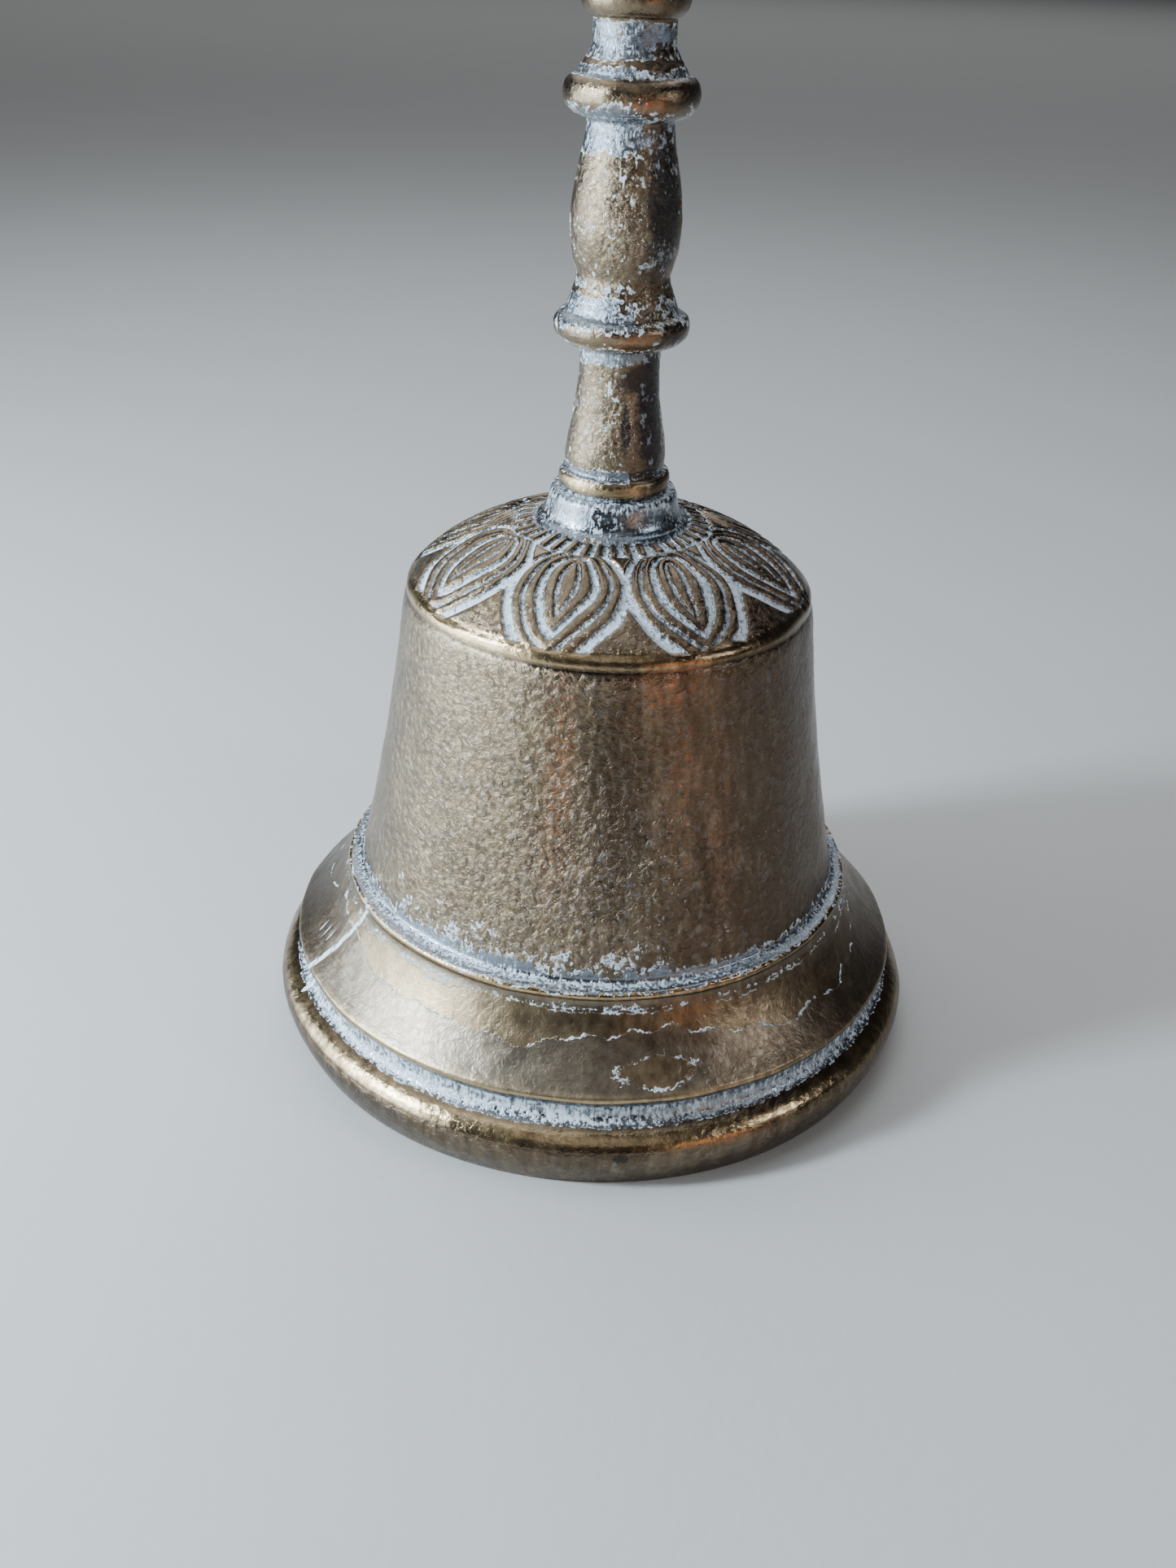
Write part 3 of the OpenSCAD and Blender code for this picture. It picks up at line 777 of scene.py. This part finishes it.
def old_brass(name, f, pebble):
    """Old cast brass. A brown patina varies over clean metal that shows where the piece is
    rubbed; the cast skin is pebbled and pitted; a grey film ends in white outlines; in the
    hollows a blue-grey tarnish carries dried polish in ragged, streaky flakes. The pebbles
    of the skin are about pebble millimetres apart."""
    n = Shade(name)
    hollow, worn, film, pitted, stain_and_sheen_amount, dark, brown, scratch, shore = (
        n.mark(key) for key in ("hollow", "worn", "film", "pitted", "stain_and_sheen", "dark", "brown",
                                "scratch", "shore"))
    cloud = n.noise(0.09, 4.0, 0.6)
    patch = n.noise(0.45, 4.0, 0.60)
    grain = n.noise(1.7, 4.0, 0.6)
    fine = n.noise(4.5, 2.0, 0.5)
    streak = n.noise(1.0, 3.0, 0.6, n.stretched(3.0, 0.45))
    turned = n.noise(1.0, 2.0, 0.5, n.stretched(0.25, 5.0))
    stripe = n.noise(1.0, 3.0, 0.6, n.stretched(0.9, 0.10))
    skin = n.noise(1.0 / pebble, 5.0, 0.62, warp=0.8)
    # metal under the patina
    rub = n.step(n.plus(worn, n.times_plus(patch, 0.6, -0.3)), 0.25, 0.95)
    tone = n.mix(n.step(cloud, 0.33, 0.70), f.patina, tuple(0.70 * c for c in f.patina))
    tone = n.mix(n.times(n.step(patch, 0.45, 0.75), 0.20), tone, f.brass)
    tone = n.mix(rub, tone, f.brass)
    # copper over the stain mark: real stains, and painted warm reflection stripes on the cup's
    # wall
    tone = n.mix(n.times(stain_and_sheen_amount, n.step(grain, 0.42, 0.56)), tone, f.copper)
    # grey film, its white outlines and scratches
    shore = n.plus(shore, n.times_plus(grain, 1.4, -0.7))
    filmed = n.times(n.step(shore, 0.04, -0.04), film)
    tone = n.mix(n.times(filmed, 0.5), tone, f.film)
    bare = n.times(n.step(shore, -0.04, 0.04), film)
    tone = n.mix(n.times(bare, 0.22), tone, f.brass)
    # brown streaks down the surface and the brown mark: real tarnish, painted shade and painted
    # dark reflections
    tarnish_and_shade = n.times_plus(stripe, 1.5, n.times_plus(grain, 0.6, brown))
    tone = n.mix(n.step(tarnish_and_shade, 1.05, 2.0, 0.0, 0.85), tone, f.brown)
    outline = n.step(n.math("ABSOLUTE", shore), 0.15, 0.03)
    outline = n.times(n.times(outline, film), n.step(patch, 0.48, 0.58))
    cut = n.step(n.times_plus(fine, 0.06, scratch), 0.80, 0.90)
    # pebbled skin and dirt in the pits
    low_skin = n.step(skin, 0.50, 0.36)
    crowd = n.step(n.plus(pitted, n.times_plus(patch, 0.5, -0.25)), 0.35, 1.0)
    dirt = n.times(n.times(low_skin, n.step(grain, 0.56, 0.44)), crowd)
    tone = n.mix(n.times(dirt, 0.80), tone, f.grime_and_shade)
    tone = n.mix(n.times(n.step(skin, 0.52, 0.64), n.times(pitted, 0.12)),
                 tone, f.polish)
    # painted shade: the dark mark darkens shaded lines and sides, with a few real blotches
    shade_and_blotch = n.step(n.plus(dark, n.times_plus(grain, 0.9, -0.45)), 0.26, 0.62)
    tone = n.mix(n.times(shade_and_blotch, 0.85), tone, f.grime_and_shade)
    # tarnish and dried polish
    wander = n.plus(n.times_plus(patch, 0.85, -0.43),
                    n.times_plus(grain, 0.5, -0.25))
    wander = n.plus(wander, n.times_plus(streak, 0.36, -0.18))
    ragged = n.plus(hollow, wander)
    slate = n.step(ragged, 0.44, 0.52)
    flake = n.plus(n.times(hollow, 0.55), n.times(streak, 0.70))
    flake = n.plus(flake, n.times_plus(grain, 0.60, -0.30))
    chalk = n.times(slate, n.step(flake, 0.70, 0.90))
    shell = n.step(n.math("ABSOLUTE", n.math("SUBTRACT", ragged, 0.48)), 0.07, 0.02)
    shell = n.times(shell, n.step(grain, 0.46, 0.56))
    chalk = n.math("MAXIMUM", n.math("MAXIMUM", chalk, shell), n.math("MAXIMUM", outline, cut))
    chalk = n.times(chalk, n.math("SUBTRACT", 1.0, n.times(shade_and_blotch, 0.75)))
    tone = n.mix(n.times(slate, 0.75), tone, f.slate)
    tone = n.mix(n.times(chalk, 0.95), tone, f.polish)
    metal = n.math("SUBTRACT", 1.0, n.times(chalk, 0.85))
    rough = n.step(patch, 0.3, 0.7, 0.16, 0.26)
    rough = n.times_plus(chalk, 0.32, rough)
    rough = n.times_plus(pitted, 0.08, rough)
    rough = n.times_plus(film, 0.15, rough)
    height = n.times(n.times_plus(skin, 4.0, n.times(grain, 0.5)),
                    n.times_plus(pitted, 0.85, 0.15))
    height = n.times_plus(dirt, -0.6, height)
    height = n.times_plus(fine, 0.10, height)
    height = n.times_plus(chalk, 0.45, height)
    height = n.times_plus(filmed, 0.25, height)
    height = n.times_plus(scratch, -1.0, height)
    height = n.times_plus(turned, 0.08, height)
    return n.finish(tone, metal, rough, height, 0.11)


def machined_brass(name, f):
    """Dulled machined brass: fine tool marks round the axis and a mottled tarnish."""
    n = Shade(name)
    mottle = n.noise(0.5, 4.0, 0.6)
    tool = n.noise(1.0, 2.0, 0.5, n.stretched(0.3, 9.0))
    tone = n.mix(n.step(mottle, 0.35, 0.7), f.brass, f.patina)
    rough = n.step(mottle, 0.3, 0.7, 0.25, 0.45)
    height = n.times_plus(tool, 0.5, n.times(n.noise(4.0, 3.0), 0.5))
    return n.finish(tone, 1.0, rough, height, 0.05)


def dark_iron(name, f):
    """Dark drawn wire with a little rust in patches and bright rubbed places."""
    n = Shade(name)
    rust, bright = (0.16, 0.075, 0.035), (0.30, 0.28, 0.26)
    patch = n.noise(0.7, 4.0, 0.6)
    grain = n.noise(5.0, 3.0, 0.6)
    tone = n.mix(n.step(patch, 0.55, 0.70), f.iron, rust)
    tone = n.mix(n.step(grain, 0.55, 0.75), tone, bright)
    metal = n.step(patch, 0.55, 0.72, 1.0, 0.45)
    rough = n.step(patch, 0.4, 0.7, 0.34, 0.68)
    return n.finish(tone, metal, rough, n.plus(grain, patch), 0.07)


def struck_brass(name, f):
    """Cast brass of the ball: patina over clean metal, bright round the middle where it
    strikes, with small dents."""
    n = Shade(name)
    middle = n.node("ShaderNodeSeparateXYZ", (n.here,)).outputs[2]
    ball_z = (low("clapper_ball")[2] + high("clapper_ball")[2]) / 2
    off = n.math("ABSOLUTE", n.math("SUBTRACT", middle, ball_z))
    patch = n.noise(0.35, 4.0, 0.6)
    rub = n.step(n.plus(off, n.times_plus(patch, 6.0, -3.0)), 5.5, 2.0)
    tone = n.mix(rub, n.mix(patch, f.patina, f.film), f.brass)
    cell = n.node("ShaderNodeTexVoronoi", (n.here,), feature="SMOOTH_F1")
    cell.inputs["Scale"].default_value = 0.55
    dents = n.step(cell.outputs["Distance"], 0.1, 0.5)
    rough = n.step(patch, 0.3, 0.7, 0.26, 0.44)
    height = n.times_plus(dents, 0.8, n.times(n.noise(3.0, 4.0), 0.3))
    return n.finish(tone, 1.0, rough, height, 0.10)


def pale_floor(name, f):
    """Matt pale floor with a faint mottle."""
    n = Shade(name)
    tone = n.mix(n.noise(0.02, 3.0), f.floor, [0.94 * c for c in f.floor])
    return n.finish(tone, 0.0, 0.85, n.noise(0.5, 3.0), 0.05)


# Operators


class BELL_OT_cup(bpy.types.Operator):
    """Builds the cast cup with its lotus shoulder"""
    bl_idname = "bell.cup"
    bl_label = "Cup"

    def execute(self, context):
        scene = context.scene
        cup = build_cup(scene.bell_cup)
        brass = old_brass("Cup brass", scene.bell_finish, 0.85)
        dress(cup, "bell", "cup_brass", brass, "bell_cup")
        return {"FINISHED"}


class BELL_OT_handle(bpy.types.Operator):
    """Builds the turned handle and the lotus bud on top of it"""
    bl_idname = "bell.handle"
    bl_label = "Handle and finial"

    def execute(self, context):
        scene = context.scene
        brass = old_brass("Handle brass", scene.bell_finish, 0.60)
        dress(build_handle(scene.bell_handle), "bell", "handle_brass", brass,
              "handle_spindle")
        dress(build_finial(scene.bell_handle), "bell", "handle_brass", brass, "finial")
        return {"FINISHED"}


class BELL_OT_fixing(bpy.types.Operator):
    """Finishes the washer, nut and eye bolt under the crown"""
    bl_idname = "bell.fixing"
    bl_label = "Fixing"

    def execute(self, context):
        brass = machined_brass("Fixing brass", context.scene.bell_finish)
        for name in ("crown_washer", "clamp_nut", "eye_bolt"):
            give(name, brass)
        return {"FINISHED"}


class BELL_OT_clapper(bpy.types.Operator):
    """Finishes the hanger ring, the clapper's rod and its ball"""
    bl_idname = "bell.clapper"
    bl_label = "Clapper"

    def execute(self, context):
        iron = dark_iron("Clapper iron", context.scene.bell_finish)
        for name in ("hanger_ring", "clapper_rod"):
            give(name, iron)
        give("clapper_ball", struck_brass("Ball brass", context.scene.bell_finish))
        return {"FINISHED"}


def give(name, material):
    """Puts a material on a frame node, through its object's own slots."""
    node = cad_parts[name]
    for slot in node.material_slots:
        slot.link = "OBJECT"
        slot.material = material


def add_lamp(name, power, size, tint, turn, rise, distance, aim):
    """A soft area light at a turn from the front and a rise above the floor, aimed at aim."""
    lamp = bpy.data.lights.new(name, "AREA")
    lamp.shape, lamp.energy, lamp.color = "RECTANGLE", power, tint
    lamp.size, lamp.size_y = size
    thing = bpy.data.objects.new(name, lamp)
    turn, rise = math.radians(turn), math.radians(rise)
    way = Vector((math.sin(turn) * math.cos(rise), -math.cos(turn) * math.cos(rise),
                  math.sin(rise)))
    thing.matrix_world = (Matrix.Translation(aim + way * distance)
                          @ way.to_track_quat("Z", "Y").to_matrix().to_4x4())
    bpy.context.scene.collection.objects.link(thing)


def add_floor(material, reach=8.0):
    """A square floor at height 0, reaching out by reach metres."""
    mesh = bpy.data.meshes.new("floor")
    mesh.from_pydata([(-reach, -reach, 0), (reach, -reach, 0), (reach, reach, 0),
                      (-reach, reach, 0)], [], [(0, 1, 2, 3)])
    floor = bpy.data.objects.new("floor", mesh)
    bpy.context.scene.collection.objects.link(floor)
    floor.data.materials.append(material)


def add_camera(s):
    """The camera in front of the axis. Its own axes are worked out from heading and pitch,
    then leaned by roll: right and up are turned about the way it looks."""
    ahead = Vector((math.sin(-s.heading) * math.cos(s.pitch),
                    math.cos(s.heading) * math.cos(s.pitch), -math.sin(s.pitch)))
    side = Vector((math.cos(s.heading), math.sin(s.heading), 0.0))
    above = side.cross(ahead)
    right = side * math.cos(s.roll) + above * math.sin(s.roll)
    up = above * math.cos(s.roll) - side * math.sin(s.roll)
    data = bpy.data.cameras.new("Camera")
    data.sensor_fit, data.sensor_height, data.lens = "VERTICAL", 36.0, s.lens
    data.clip_start, data.clip_end = 0.01, 50.0
    camera = bpy.data.objects.new("Camera", data)
    turn = Matrix((right, up, -ahead)).transposed().to_4x4()
    camera.matrix_world = Matrix.Translation((0.0, -s.distance, s.height)) @ turn
    bpy.context.scene.collection.objects.link(camera)
    bpy.context.scene.camera = camera


class BELL_OT_stage(bpy.types.Operator):
    """Sets up the pale floor, the soft lights and the camera"""
    bl_idname = "bell.stage"
    bl_label = "Stage"

    def execute(self, context):
        scene = context.scene
        s, f = scene.bell_stage, scene.bell_finish
        add_floor(pale_floor("Floor", f))
        cool, warm, clear = (0.72, 0.87, 1.0), (1.0, 0.58, 0.36), (0.95, 0.97, 1.0)
        mild, sky, above = (0.9, 0.95, 1.0), (0.86, 0.93, 1.0), (0.85, 0.93, 1.0)
        world = bpy.data.worlds.new("Studio")
        world.use_nodes = True
        back = world.node_tree.nodes["Background"]
        back.inputs["Color"].default_value = (*sky, 1.0)
        back.inputs["Strength"].default_value = s.world
        scene.world = world
        aim = Vector((0.0, 0.0, 0.05))
        add_lamp("Key light", s.key, (0.050, 0.085), cool, -70, 27, 0.35, aim)
        add_lamp("Soft light", s.soft, (0.34, 0.13), cool, -80, 4, 0.30, aim)
        add_lamp("Side light", s.side, (0.035, 0.05), mild, 67, 24, 0.35, aim)
        add_lamp("Warm light", s.warm, (0.07, 0.13), warm, 40, 2, 0.30, aim)
        add_lamp("Front light", s.front, (0.5, 0.4), clear, 4, 52, 0.8, aim)
        add_lamp("Top light", s.top, (0.60, 0.60), above, -150, 66, 0.45, aim)
        add_lamp("Back light", s.back, (3.0, 2.0), clear, 180, 42, 3.2, aim)
        add_camera(s)
        return {"FINISHED"}


class BELL_PT_panel(bpy.types.Panel):
    """Lists the bell's pieces and settings"""
    bl_idname = "BELL_PT_panel"
    bl_label = "Brass Hand Bell"
    bl_space_type = "VIEW_3D"
    bl_region_type = "UI"
    bl_category = "Bell"

    def draw(self, context):
        for operator in OPERATORS:
            self.layout.operator(operator.bl_idname)
        for group in GROUPS:
            box = self.layout.box()
            settings = getattr(context.scene, group)
            for name in settings.bl_rna.properties.keys():
                if name not in ("rna_type", "name"):
                    box.prop(settings, name)


GROUPS = {"bell_cup": CupSettings, "bell_handle": HandleSettings,
          "bell_finish": FinishSettings, "bell_stage": StageSettings}
OPERATORS = (BELL_OT_cup, BELL_OT_handle, BELL_OT_fixing, BELL_OT_clapper, BELL_OT_stage)


def register():
    for cls in (*GROUPS.values(), *OPERATORS, BELL_PT_panel):
        bpy.utils.register_class(cls)
    for name, group in GROUPS.items():
        setattr(bpy.types.Scene, name, PointerProperty(type=group))


def unregister():
    for name in GROUPS:
        delattr(bpy.types.Scene, name)
    for cls in reversed((*GROUPS.values(), *OPERATORS, BELL_PT_panel)):
        bpy.utils.unregister_class(cls)


def main():
    register()
    for operator in OPERATORS:
        space, name = operator.bl_idname.split(".")
        getattr(getattr(bpy.ops, space), name)()


if __name__ == "__main__":
    main()
